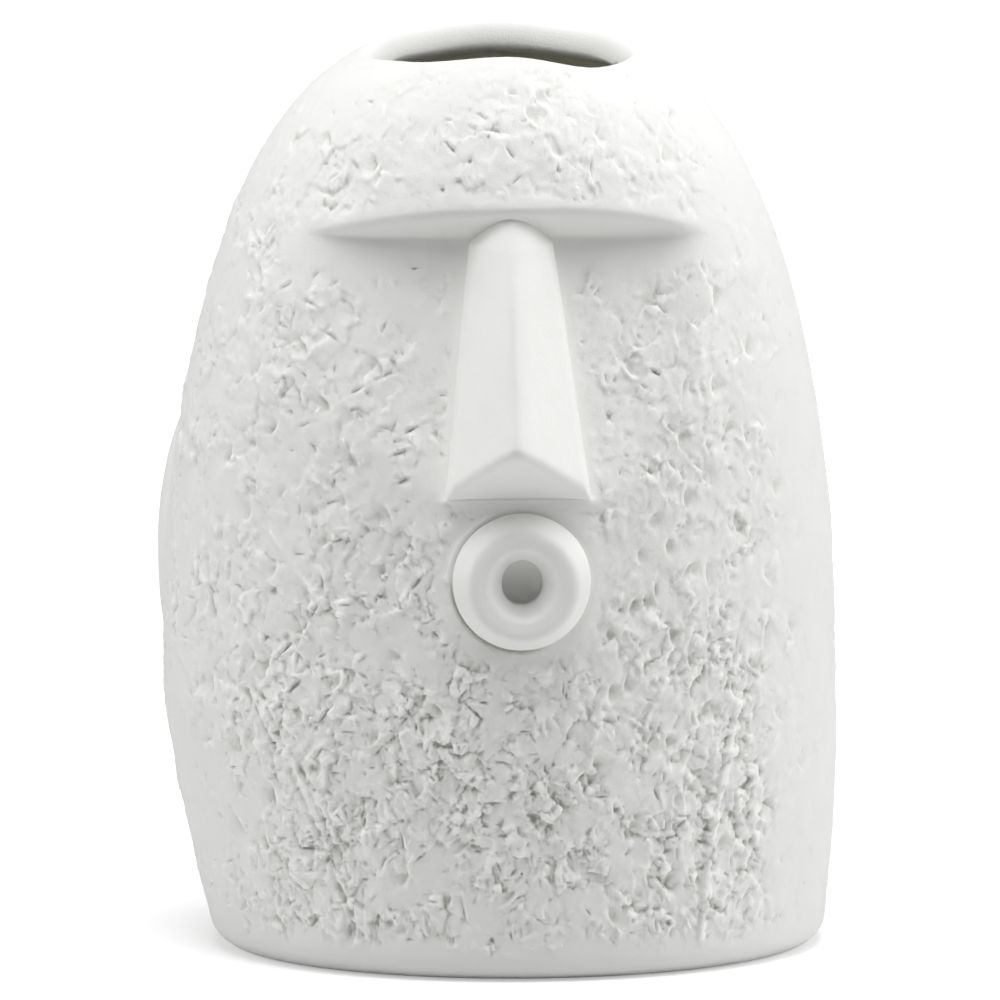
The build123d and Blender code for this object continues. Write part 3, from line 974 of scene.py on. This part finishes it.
@dataclass
class HeadShell:
    """Slip-cast head with its chiselled skin, rim, wall and foot ring."""

    form: HeadForm
    shift: float
    front_cell: float = 0.36
    back_cell: float = 0.6
    row_cell: float = 0.38
    wall: float = 4.9
    floor: float = 5.9
    floor_rounding: float = 5.0
    rim_rounding: float = 3.4
    rim_drop: float = 5.5
    lip: float = 1.7
    rim_wave: tuple[float, ...] = (2.0, 0.9, -1.2, -0.6, 1.0, -2.2, -1.0, 0.9)
    foot_rounding: float = 5.5
    foot_ring: float = 9.0
    recess: float = 1.5
    most_triangles: int = 196_000
    mouth: Pair = FACE.mouth
    seat: float = FACE.mouth_seat
    hole_floor: float = -51.9
    hole_bowl: float = 0.1
    seat_edge: Pair = (13.9, 14.5)
    hole_edge: Pair = (4.9, 5.3)
    back_change: Pair = (80.0, 115.0)
    wave_fade: Pair = (2.0, 18.0)
    small_bevel: Pair = (0.12, 0.4)
    blur_reach: int = 3
    blur_rounds: int = 3

    def waviness(self, turn: Array) -> Array:
        """Rise of the hand-cut rim; the first value of its wave is at the back.

        Args:
            turn: Turns round the axis in radians.

        Returns:
            Rise at each turn in millimetres.
        """
        share = (turn + math.pi) / (2 * math.pi) * len(self.rim_wave)
        before = np.floor(share).astype(int) % len(self.rim_wave)
        values = np.array(self.rim_wave)
        part = ramp(share - np.floor(share), 0.0, 1.0)
        return values[before] * (1 - part) + values[(before + 1) % len(values)] * part

    def turns(self) -> Array:
        """Spreads the mesh's columns, close together on the face and wider at the back.

        Returns:
            Turn of each column in radians.
        """
        fine = np.linspace(-math.pi, math.pi, 20001)
        a, b = self.form.belly_half
        speed = np.hypot(a * np.cos(fine), b * np.sin(fine))
        back = ramp(np.degrees(np.abs(fine)), *self.back_change)
        weight = speed / (self.front_cell + (self.back_cell - self.front_cell) * back)
        heap = np.concatenate([[0.0], np.cumsum((weight[1:] + weight[:-1]) / 2 * np.diff(fine))])
        count = int(heap[-1])
        return np.interp(np.arange(count + 1) / count * heap[-1], heap, fine)[:-1]

    def outside(self, turn: Array) -> tuple[Array, Array]:
        """Outer skin from the foot's rounding to the rim.

        Args:
            turn: Turns of the columns.

        Returns:
            Points in rows and columns, and their distance along the skin from the rim.
        """
        top = self.form.rim(turn)
        share = np.linspace(0.0, 1.0, 1800)[:, None]
        height = top - (top - self.foot_rounding) * (1 - share) ** 1.5
        fine = self.form.skin(turn[None, :], height)
        steps = np.linalg.norm(np.diff(fine, axis=0), axis=-1)
        run = np.concatenate([np.zeros((1, len(turn))), np.cumsum(steps, axis=0)])
        rows = int(run[-1].max() / self.row_cell)
        points = np.empty((rows, len(turn), 3))
        to_rim = np.empty((rows, len(turn)))
        for column in range(len(turn)):
            end = run[-1, column] - self.rim_rounding
            places = np.linspace(0.0, end, rows)
            to_rim[:, column] = run[-1, column] - places
            for axis in range(3):
                points[:, column, axis] = np.interp(places, run[:, column], fine[:, column, axis])
        return points, to_rim

    def underside(self, turn: Array) -> Array:
        """Rows from the middle of the recess over the foot ring and its rounding.

        Args:
            turn: Turns of the columns.

        Returns:
            Points in rows and columns.
        """
        ring = self.foot_rounding + self.foot_ring
        near, far = self.small_bevel
        rows = [(1 - share, ring + far, self.recess) for share in np.linspace(1.0, 0.0, 8)]
        rows += [(1.0, ring + near, self.recess - near), (1.0, ring, self.recess - far)]
        rows += [(1.0, ring, far), (1.0, ring - near, near), (1.0, ring - far, 0.0)]
        rows += [(1.0, ring - self.foot_ring * share, 0.0) for share in (0.35, 0.7)]
        for angle in np.linspace(0.0, math.pi / 2, 14)[:-1]:
            inset = self.foot_rounding * (1 - math.sin(angle))
            rows.append((1.0, inset, self.foot_rounding * (1 - math.cos(angle))))
        sheets = []
        for scale, inset, height in rows:
            level = np.array(height)
            x = self.form.middle(level) + scale * (self.form.reach(level, 0) - inset) * np.sin(turn)
            y = -scale * (self.form.reach(level, 1) - inset) * np.cos(turn)
            sheets.append(np.stack([x, y, np.full_like(turn, height)], axis=-1))
        return np.stack(sheets)

    def inside(self, turn: Array, edge: Array, last: Array) -> Array:
        """Rows over the rim, down the opening and the wall's inside to the middle of the floor.

        Args:
            turn: Turns of the columns.
            edge: Points of the sharp rim.
            last: Last row of the outer skin.

        Returns:
            Points in rows and columns.
        """
        inwards = np.array([*(1 - self.lip / half for half in self.form.opening_half), 1.0])
        below = edge * inwards - np.array([0.0, 0.0, self.rim_drop])
        rows = []
        for share in np.linspace(0.0, 1.0, 10)[1:]:
            rows.append(bend(last, edge, below, share))
        top = self.form.rim(turn, self.wall)
        lip_edge = self.form.skin(turn, top, self.wall) * inwards
        rows += [below + (lip_edge - below) * share for share in (0.25, 0.5, 0.75, 1.0)]
        rows += [lip_edge - np.array([0.0, 0.0, drop]) for drop in (0.3, 0.8)]
        bottom = self.floor + self.floor_rounding
        for share in np.linspace(0.0, 1.0, 46):
            rows.append(self.form.skin(turn, top - (top - bottom) * (1 - (1 - share) ** 1.6), self.wall))
        start = rows[-1]
        for angle in np.linspace(0.0, math.pi / 2, 7)[1:]:
            pull = self.floor_rounding * (1 - math.cos(angle))
            drop = start[:, 2] - self.floor
            scale = 1 - pull / np.hypot(start[:, 0], start[:, 1])
            z = start[:, 2] - drop * math.sin(angle)
            rows.append(np.stack([start[:, 0] * scale, start[:, 1] * scale, z], axis=-1))
        rim = rows[-1]
        for share in np.linspace(1.0, 0.0, 8)[1:]:
            rows.append(np.stack([rim[:, 0] * share, rim[:, 1] * share, rim[:, 2]], axis=-1))
        return np.stack(rows)

    def normals(self, points: Array) -> Array:
        """Outward normals of a sheet that closes round the head.

        Args:
            points: Rows and columns of points.

        Returns:
            Normal of length 1 at each point.
        """
        around = np.roll(points, -1, axis=1) - np.roll(points, 1, axis=1)
        up = np.gradient(points, axis=0)
        square = np.cross(around, up)
        return square / np.linalg.norm(square, axis=-1, keepdims=True)

    def seated(self, points: Array) -> Array:
        """Lets the ring's seat into the skin, with the mouth's blind hole behind it.

        Args:
            points: Rows and columns of the skin's points, changed in place.

        Returns:
            The same points.
        """
        gap = np.hypot(points[..., 0] - self.mouth[0], points[..., 2] - self.mouth[1])
        front = points[..., 1] < 0
        y = points[..., 1]
        seat = np.maximum(y, self.seat)
        y = np.where(front, seat + (y - seat) * ramp(gap, *self.seat_edge), y)
        hole = np.maximum(y, self.hole_floor - self.hole_bowl * gap**2)
        points[..., 1] = np.where(front, hole + (y - hole) * ramp(gap, *self.hole_edge), y)
        return points

    def build(self, finish: bpy.types.Material) -> None:
        """Models the head from a grid that is wrapped round its axis.

        Args:
            finish: Material of the head.
        """
        turn = self.turns()
        skin, to_rim = self.outside(turn)
        wave = self.waviness(turn)
        skin[..., 2] += wave * (1 - ramp(to_rim, *self.wave_fade))
        normals = self.normals(skin)
        chisel = ChiselledSkin(self.form, skin, normals, turn, to_rim)
        rough = chisel.roughness()
        relief = chisel.relief(rough) + chisel.marks(rough) + chisel.jaw() + chisel.slip()
        shown = self.seated(skin + normals * relief[..., None])
        edge = self.form.ring(turn, self.form.rim(turn))
        edge[:, 2] += wave
        under = self.underside(turn)
        points = np.concatenate([under, shown, self.inside(turn, edge, shown[-1])])
        # hollow depth: mask of the bisque's painted shade in hollows and its painted highlight on raised
        # places
        hollow = np.zeros(points.shape[:2])
        hollow[len(under):len(under) + len(shown)] = self.hollows(relief)
        points = np.concatenate([points, points[:, :1]], axis=1)
        hollow = np.concatenate([hollow, hollow[:, :1]], axis=1)
        points[..., 1] += self.shift
        piece = grid_piece("head_shell", points)
        attribute = piece.data.attributes.new("hollow", "FLOAT", "POINT")
        attribute.data.foreach_set("value", hollow.astype(np.float32).ravel())
        apply_modifier(piece, "WELD", merge_threshold=2e-6)
        LOG.info("head before thinning: %d faces", len(piece.data.polygons))
        triangles = sum(len(face.vertices) - 2 for face in piece.data.polygons)
        if triangles > self.most_triangles:
            apply_modifier(piece, "DECIMATE", ratio=self.most_triangles / triangles)
        bpy.ops.object.shade_smooth()
        hand_in(piece, finish, "body_shell")

    def hollows(self, relief: Array) -> Array:
        """How far each place lies below its surroundings.

        Args:
            relief: Height of the relief at each place in millimetres.

        Returns:
            Depth at each place in millimetres, below 0 where it stands proud.
        """
        blur = relief
        steps = range(-self.blur_reach, self.blur_reach + 1)
        for _ in range(self.blur_rounds):
            for axis in (0, 1):
                blur = sum(np.roll(blur, step, axis=axis) for step in steps) / len(steps)
        return blur - relief


@dataclass
class Nose:
    """Wedge of two facets with a sloping underside, luted on below the brow."""

    form: HeadForm
    shift: float
    base: float = FACE.nose_base
    top: float = FACE.nose_top
    half: Pair = FACE.nose_half
    lean: float = FACE.nose_lean
    ridge_place: float = -0.5
    reach: float = 15.5
    tip_rise: float = 12.3
    side: float = 0.7
    pinch: Pair = (5.0, 8.5)
    ridge_softness: float = 2.4
    upper_zone: Pair = (22.0, 3.0)
    upper_growth: float = 1.4
    ridge_share: float = 0.75
    under_softness: float = 3.0
    flank_slope: float = 5.0
    flank_softness: Pair = (2.6, 5.0)
    lumps: Pair = (9.0, 0.1)
    grit: Pair = (3.5, 0.05)
    skirt: float = 1.6
    overrun: float = 4.0
    margin: float = 1.0
    buried: float = 1.5
    bury_depth: float = 0.9
    bury_softness: float = 0.8
    sunk: float = 1.3
    backing: float = 1.4
    rows: int = 170
    columns: int = 120
    grain: Grain = field(default_factory=Grain)

    def face(self, across: Array, height: Array) -> Array:
        """Y of the leaning face behind the nose, run on behind the brow.

        Args:
            across: X of the places in millimetres.
            height: Z of the places.

        Returns:
            Y at each place.
        """
        corner = float(self.form.face_line(np.array(self.form.brow)))
        low = float(self.form.face_line(np.array(self.form.face_foot)))
        lean = (corner - low) / (self.form.brow - self.form.face_foot)
        rounding = (across - self.form.face_shift) ** 2 / 2 / self.form.face_radius
        return corner + (height - self.form.brow) * lean + rounding

    def front(
        self, across: Array, height: Array, half: Array, middle: Array
    ) -> Array:
        """Y of the nose's skin.

        Args:
            across: X of the places in millimetres.
            height: Z of the places.
            half: Half the nose's width at each place's height.
            middle: X of the nose's middle at each place's height.

        Returns:
            Y at each place.
        """
        seat = float(self.face(np.array(0.0), np.array(self.base)))
        tip_y, tip_z = seat - self.reach, self.base + self.tip_rise
        brow_y = -float(self.form.reach(np.array(self.top), 1))
        ridge = tip_y + (height - tip_z) * (brow_y - tip_y) / (self.top - tip_z)
        upper = ramp(height, *(self.top - below for below in self.upper_zone))
        half = half - self.pinch[0] * np.clip(1 - (self.top - height) / self.pinch[1], 0.0, 1.0)
        edge = self.face(middle + half, height) - self.side
        off = across - self.ridge_place
        soft = self.ridge_softness * (1 + self.upper_growth * upper)
        wide = half + (middle - self.ridge_place) * np.tanh(off / soft)
        away = np.sqrt(off**2 + soft**2) - self.ridge_share * soft
        facet = ridge + (edge - ridge) * away / wide
        under = seat - (height - self.base) * self.reach / self.tip_rise
        flank = edge + (np.abs(across - middle) - half) * self.flank_slope
        below, above = self.flank_softness
        skin = soft_max(soft_max(facet, under, self.under_softness), flank, below + above * upper)
        places = np.stack([across, skin, height], axis=-1)
        lumps = self.lumps[1] * self.grain.waves(places, self.lumps[0], 51)
        lumps += self.grit[1] * self.grain.waves(places, self.grit[0], 52)
        return skin + lumps

    def build(self, finish: bpy.types.Material) -> None:
        """Models the nose from a grid and closes it behind the face's skin.

        Args:
            finish: Material of the nose.
        """
        share = np.linspace(0.0, 1.0, self.rows)[:, None]
        height = self.base - self.skirt + (self.top + self.overrun - self.base) * share
        rise = (height - self.base) / (self.top - self.base)
        half = self.half[0] + (self.half[1] - self.half[0]) * rise
        middle = self.lean * (1 - rise)
        across = middle + np.linspace(-1.0, 1.0, self.columns) * (half + self.margin)
        across, height, half, middle = np.broadcast_arrays(across, height, half, middle)
        skin = self.front(across, height, half, middle)
        forehead = -self.form.reach(height, 1) * np.sqrt(1 - (across / self.form.reach(height, 0)) ** 2)
        hidden = soft_max(skin, forehead + self.bury_depth, self.bury_softness)
        start = self.top - self.buried
        skin = np.where(height > start, skin + (hidden - skin) * ramp(height, start, self.top), skin)
        skin = np.minimum(skin, self.face(across, height) + self.sunk)
        piece = grid_piece("wedge_nose", np.stack([across, skin + self.shift, height], axis=-1))
        bpy.ops.object.mode_set(mode="EDIT")
        bpy.ops.mesh.select_all(action="DESELECT")
        bpy.ops.mesh.select_mode(type="EDGE")
        bpy.ops.mesh.select_non_manifold(
            use_wire=False, use_multi_face=False, use_non_contiguous=False, use_verts=False
        )
        bpy.ops.mesh.extrude_region_move(TRANSFORM_OT_translate={"value": (0.0, self.backing * MM, 0.0)})
        bpy.ops.mesh.fill(use_beauty=True)
        bpy.ops.mesh.select_all(action="SELECT")
        bpy.ops.mesh.normals_make_consistent(inside=False)
        bpy.ops.object.mode_set(mode="OBJECT")
        bpy.ops.object.shade_smooth()
        hand_in(piece, finish, "nose")


@dataclass
class MouthRing:
    """Turned ring with a rounded crest, a shallow dish and a funnel that runs into the hole."""

    shift: float
    middle: Pair = FACE.mouth
    seat: float = FACE.mouth_seat
    steps: int = 160
    tall: float = 1.14
    funnel: Pair = (5.5, 9.0)
    crest: Pair = (2.5, 6.0)
    lumps: Pair = (7.0, 0.12)
    corners: tuple[Triple, ...] = (
        (4.4, 0.02, 0.0),
        (FACE.mouth_radius, 0.02, 0.5),
        (FACE.mouth_radius, 3.1, 1.4),
        (11.6, 8.35, 1.9),
        (7.5, 7.72, 0.9),
        (4.4, 3.6, 0.6),
    )
    """Radius, height above the seat and length of the rounding at each corner of the section."""
    grain: Grain = field(default_factory=Grain)

    def profile(self, count: int = 120, bends: int = 12) -> Array:
        """Outline of the ring's section: straight runs between corners that are rounded by curves.

        Args:
            count: Points of the outline, at even steps along it.
            bends: Points of each rounded corner before they are spread evenly.

        Returns:
            Radius and height above the seat of each point.
        """
        share = np.linspace(0.0, 1.0, bends)[:, None]
        places = np.array(self.corners)
        curve = []
        befores, afters = (np.roll(places, step, axis=0) for step in (1, -1))
        for before, corner, after in zip(befores, places, afters):
            tip, cut = corner[:2], corner[2]
            runs = [other[:2] - tip for other in (before, after)]
            start, end = (tip + cut * run / np.linalg.norm(run) for run in runs)
            curve.append(bend(start, tip, end, share))
        line = np.concatenate(curve + [curve[0][:1]])
        length = np.concatenate([[0.0], np.cumsum(np.linalg.norm(np.diff(line, axis=0), axis=1))])
        steps = np.linspace(0.0, length[-1], count, endpoint=False)
        return np.stack([np.interp(steps, length, line[:, axis]) for axis in (0, 1)], axis=-1)

    def build(self, finish: bpy.types.Material) -> None:
        """Spins the section round the mouth's axis and lets it wander a little, as hand-made ware does.

        Args:
            finish: Material of the ring.
        """
        profile = self.profile()
        deselect()
        bpy.ops.mesh.primitive_circle_add(vertices=len(profile), radius=1.0, fill_type="NOTHING")
        piece = named("mouth_rim")
        points = np.zeros((len(profile), 3))
        points[:, 0] = self.middle[0] + profile[:, 0]
        points[:, 1] = self.seat - profile[:, 1] + self.shift
        points[:, 2] = self.middle[1]
        write_points(piece, points * MM)
        bpy.ops.object.mode_set(mode="EDIT")
        bpy.ops.mesh.select_all(action="SELECT")
        centre = (self.middle[0] * MM, 0.0, self.middle[1] * MM)
        bpy.ops.mesh.spin(steps=self.steps, angle=2 * math.pi, center=centre, axis=(0.0, 1.0, 0.0))
        bpy.ops.mesh.select_all(action="SELECT")
        bpy.ops.mesh.remove_doubles(threshold=2e-6)
        bpy.ops.mesh.normals_make_consistent(inside=False)
        bpy.ops.object.mode_set(mode="OBJECT")
        points = read_points(piece) / MM
        out = points[:, [0, 2]] - np.array(self.middle)
        radius = np.hypot(out[:, 0], out[:, 1])
        near = 1 - ramp(radius, *self.funnel)
        points[:, 2] = self.middle[1] + out[:, 1] * (1 + (self.tall - 1) * near)
        proud = ramp(self.seat + self.shift - points[:, 1], *self.crest)
        points[:, 1] += self.lumps[1] * proud * self.grain.waves(points, self.lumps[0], 61)
        write_points(piece, points * MM)
        bpy.ops.object.shade_smooth()
        hand_in(piece, finish, "mouth_ring")


@dataclass
class Ear:
    """Long smooth swelling on one side of the head."""

    side: Side
    form: HeadForm
    shift: float
    half: Pair = FACE.ear_half
    height: float = FACE.ear_height
    setback: float = FACE.ear_setback
    proud: float = 4.2
    depth: float = 0.97
    facets: int = 120
    swells: tuple[tuple[float, float, int], ...] = ((12.0, 0.22, 71), (3.2, 0.09, 72))
    """Length and height of each swell, and the salt of its noise."""
    grain: Grain = field(default_factory=Grain)

    def build(self, finish: bpy.types.Material) -> None:
        """Models the ear from a ball that is drawn out and flattened against the head.

        Args:
            finish: Material of the ear.
        """
        level = np.array(self.height)
        share = self.setback / float(self.form.reach(level, 1))
        reach = float(self.form.reach(level, 0)) * math.sqrt(1 - share**2)
        deselect()
        bpy.ops.mesh.primitive_uv_sphere_add(segments=self.facets, ring_count=self.facets, radius=1.0)
        piece = named(f"{self.side.name.lower()}_swelling")
        points = read_points(piece) * np.array([self.half[0], self.half[0], self.half[1]])
        across = self.side.value * (reach + self.proud - self.half[0])
        points += np.array([across, self.setback, self.height])
        outwards = np.array([self.side.value, 0.0, 0.0])
        for length, high, salt in self.swells:
            points += high * self.grain.waves(points, length, salt)[:, None] * outwards
        middle = self.form.middle(points[:, 2])
        out = np.hypot(
            (points[:, 0] - middle) / self.form.reach(points[:, 2], 0),
            points[:, 1] / self.form.reach(points[:, 2], 1),
        )
        grow = np.maximum(self.depth / np.maximum(out, 1e-6), 1.0)
        points[:, 0] = middle + (points[:, 0] - middle) * grow
        points[:, 1] *= grow
        points[:, 1] += self.shift
        write_points(piece, points * MM)
        bpy.ops.object.shade_smooth()
        hand_in(piece, finish, f"{self.side.name.lower()}_ear")


@dataclass(frozen=True)
class NodeDesk:
    """Adds and joins the nodes of one material or world."""

    tree: bpy.types.NodeTree

    def feed(self, node: bpy.types.Node, inputs: dict[str | int, object]) -> None:
        """Sets or links inputs of a node.

        Args:
            node: Node that gets them.
            inputs: Value of each input, or the output that feeds it.
        """
        for name, value in inputs.items():
            if isinstance(value, bpy.types.NodeSocket):
                self.tree.links.new(value, node.inputs[name])
            else:
                node.inputs[name].default_value = value

    def add(
        self, kind: str, inputs: dict[str | int, object] | None = None, **settings: object
    ) -> bpy.types.NodeOutputs:
        """Adds a node.

        Args:
            kind: Blender's name for the kind of node, without its first word.
            inputs: Value of each input, or the output that feeds it.
            settings: Values of the node's properties, which are set before the inputs.

        Returns:
            Outputs of the new node.
        """
        node = self.tree.nodes.new(f"ShaderNode{kind}")
        for name, value in settings.items():
            setattr(node, name, value)
        self.feed(node, inputs or {})
        return node.outputs

    def blend(self, factor: bpy.types.NodeSocket, first: object, second: object) -> bpy.types.NodeSocket:
        """Colour between two colours or outputs, by a factor."""
        return self.add("Mix", {"Factor": factor, "A": first, "B": second}, data_type="RGBA")["Result"]

    def spread(self, value: bpy.types.NodeSocket, **ends: float) -> bpy.types.NodeSocket:
        """Value that is moved from one span to another, with ends such as from_min and to_max."""
        named_ends = {name.replace("_", " ").title(): end for name, end in ends.items()}
        return self.add("MapRange", {"Value": value, **named_ends})["Result"]


def new_material(name: str) -> tuple[bpy.types.Material, NodeDesk, bpy.types.Node]:
    """Adds a material with nodes.

    Args:
        name: Name of the material.

    Returns:
        The material, the desk for its nodes and its shader.
    """
    made = bpy.data.materials.new(name)
    made.use_nodes = True
    return made, NodeDesk(made.node_tree), made.node_tree.nodes["Principled BSDF"]


@dataclass(frozen=True)
class Bisque:
    """Unglazed white stoneware, dull and faintly grainy, with painted shade in its hollows and a painted
    highlight on raised places.
    """

    name: str = "white_bisque"
    light: Colour = (0.845, 0.845, 0.83, 1.0)
    warm: Colour = (0.80, 0.80, 0.78, 1.0)
    # painted shade: grey colour that the hollows turn towards
    shade: Colour = (0.56, 0.56, 0.51, 1.0)
    # painted highlight: paler colour that raised places turn towards
    painted_highlight: Colour = (0.94, 0.94, 0.93, 1.0)

    def material(self) -> bpy.types.Material:
        """Builds the node material.

        Returns:
            The new material.
        """
        made, desk, shader = new_material(self.name)
        place = desk.add("TexCoord")["Object"]
        cloud = desk.add("TexNoise", {"Vector": place, "Scale": 70.0, "Detail": 5.0})["Fac"]
        hollow = desk.add("Attribute", attribute_name="hollow")["Fac"]
        tone = desk.blend(cloud, self.light, self.warm)
        # painted shade: darker where the skin lies below its surroundings
        deep = desk.blend(desk.spread(hollow, from_min=0.1, from_max=0.6, to_max=0.85), tone, self.shade)
        # painted highlight: paler where the skin stands proud of its surroundings
        edges = desk.blend(desk.spread(hollow, from_min=-0.06, from_max=-0.35), deep, self.painted_highlight)
        dull = desk.spread(cloud, to_min=0.8, to_max=0.95)
        grit = desk.add("TexNoise", {"Vector": place, "Scale": 1700.0, "Detail": 3.0})["Fac"]
        bump = desk.add("Bump", {"Height": grit, "Strength": 0.25, "Distance": 0.00025})["Normal"]
        desk.feed(shader, {"Specular IOR Level": 0.3, "Roughness": dull})
        desk.feed(shader, {"Base Color": edges, "Normal": bump})
        return made


@dataclass(frozen=True)
class Glaze:
    """Fired glaze of the inside, glossy with a faint ripple."""

    name: str = "inner_glaze"
    light: Colour = (0.94, 0.93, 0.83, 1.0)
    thin: Colour = (0.90, 0.89, 0.78, 1.0)

    def material(self) -> bpy.types.Material:
        """Builds the node material.

        Returns:
            The new material.
        """
        made, desk, shader = new_material(self.name)
        place = desk.add("TexCoord")["Object"]
        cloud = desk.add("TexNoise", {"Vector": place, "Scale": 60.0, "Detail": 4.0})["Fac"]
        tone = desk.blend(cloud, self.light, self.thin)
        gloss = desk.spread(cloud, to_min=0.12, to_max=0.3)
        ripple = desk.add("Bump", {"Height": cloud, "Strength": 0.15, "Distance": 0.001})["Normal"]
        desk.feed(shader, {"Coat Weight": 0.3, "Base Color": tone, "Roughness": gloss, "Normal": ripple})
        return made


@dataclass(frozen=True)
class Lamp:
    """Square soft lamp that looks at the vase: its place and side in metres, its power in watts."""

    name: str
    place: Triple
    size: float
    power: float


@dataclass
class Studio:
    """Pale floor, soft lamps and the camera."""

    azimuth: float = -3.5
    elevation: float = 9.4
    distance: float = 5.0
    lens: float = 827.0
    sensor: float = 36.0
    far: float = 50.0
    aim: Triple = (0.0001, 0.00717, 0.0972)
    floor_size: float = 12.0
    floor_drop: float = 0.0001
    floor_colour: Colour = (0.8, 0.8, 0.8, 1.0)
    glow_radii: Pair = (0.1, 0.4)
    glow_levels: Pair = (0.4, 1.0)
    lamps: tuple[Lamp, ...] = (
        Lamp("right_softbox", (1.2, -0.1, 0.5), 1.0, 9.4),
        Lamp("left_softbox", (-1.2, -0.1, 0.5), 1.0, 7.0),
        Lamp("top_softbox", (0.0, 0.0, 1.4), 0.9, 7.4),
        Lamp("front_softbox", (0.0, -0.4, 1.35), 0.9, 10.7),
    )

    def floor(self) -> None:
        """Adds a pale floor that shows white to the camera and keeps the vase's shadow."""
        deselect()
        bpy.ops.mesh.primitive_plane_add(size=self.floor_size, location=(0.0, 0.0, -self.floor_drop))
        plane = bpy.context.object
        plane.name = "studio_floor"
        pale, desk, shader = new_material("pale_floor")
        path = desk.add("LightPath")
        rays = {0: path["Is Camera Ray"], 1: path["Is Glossy Ray"]}
        seen = desk.add("Math", rays, operation="MAXIMUM")["Value"]
        away = desk.add("VectorMath", {0: desk.add("TexCoord")["Object"]}, operation="LENGTH")["Value"]
        (near, far), (low, high) = self.glow_radii, self.glow_levels
        fade = desk.spread(away, from_min=near, from_max=far, to_min=low, to_max=high)
        glow = desk.add("Math", {0: seen, 1: fade}, operation="MULTIPLY")["Value"]
        desk.feed(shader, {"Base Color": self.floor_colour, "Roughness": 1.0, "Specular IOR Level": 0.0})
        desk.feed(shader, {"Emission Color": WHITE, "Emission Strength": glow})
        plane.data.materials.append(pale)

    def world(self) -> None:
        """Shows white where the camera looks past the floor, and gives no light of its own."""
        world = bpy.data.worlds.new("studio")
        bpy.context.scene.world = world
        world.use_nodes = True
        world.node_tree.nodes.clear()
        desk = NodeDesk(world.node_tree)
        path = desk.add("LightPath")
        rays = {0: path["Is Camera Ray"], 1: path["Is Transmission Ray"]}
        seen = desk.add("Math", rays, operation="MAXIMUM")["Value"]
        around = desk.add("Background", {"Color": WHITE, "Strength": seen})["Background"]
        desk.add("OutputWorld", {"Surface": around})

    def lamp(self, plan: Lamp) -> None:
        """Adds a soft lamp that looks at the vase.

        Args:
            plan: Name, place, size and power of the lamp.
        """
        deselect()
        bpy.ops.object.light_add(type="AREA", location=plan.place)
        lamp = bpy.context.object
        lamp.name = plan.name
        lamp.data.size = plan.size
        lamp.data.energy = plan.power
        towards = Vector(self.aim) - Vector(plan.place)
        lamp.rotation_euler = towards.to_track_quat("-Z", "Y").to_euler()

    def camera(self) -> None:
        """Adds the camera at the photograph's angle."""
        turn, rise = math.radians(self.azimuth), math.radians(self.elevation)
        level = math.cos(rise)
        back = Vector((math.sin(turn) * level, -math.cos(turn) * level, math.sin(rise)))
        deselect()
        bpy.ops.object.camera_add(location=Vector(self.aim) + back * self.distance)
        camera = bpy.context.object
        camera.rotation_euler = (-back).to_track_quat("-Z", "Y").to_euler()
        camera.data.lens = self.lens
        camera.data.sensor_width = self.sensor
        camera.data.clip_end = self.far
        bpy.context.scene.camera = camera

    def build(self) -> None:
        """Sets up the whole studio."""
        bpy.context.scene.view_settings.view_transform = "Standard"
        self.floor()
        self.world()
        for plan in self.lamps:
            self.lamp(plan)
        self.camera()


def plain(box: tuple[Vector, Vector]) -> list[list[float]]:
    """Corners of a box as plain lists."""
    return [list(corner) for corner in box]


def main() -> None:
    """Builds the pieces in order, dresses them and sets the stage."""
    logging.basicConfig(level=logging.INFO, format="%(name)s: %(message)s")
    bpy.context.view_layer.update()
    bisque = Bisque().material()
    glaze = Glaze().material()
    shell_low, shell_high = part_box("body_shell")
    form = HeadForm()
    shift = (shell_low.y + shell_high.y) / 2 / MM
    HeadShell(form, shift).build(bisque)
    Nose(form, shift).build(bisque)
    MouthRing(shift).build(bisque)
    for side in Side:
        Ear(side, form, shift).build(bisque)
    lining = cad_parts["inner_glaze"]
    lining.data.materials.clear()
    lining.data.materials.append(glaze)
    Studio().build()


if __name__ == "__main__":
    main()
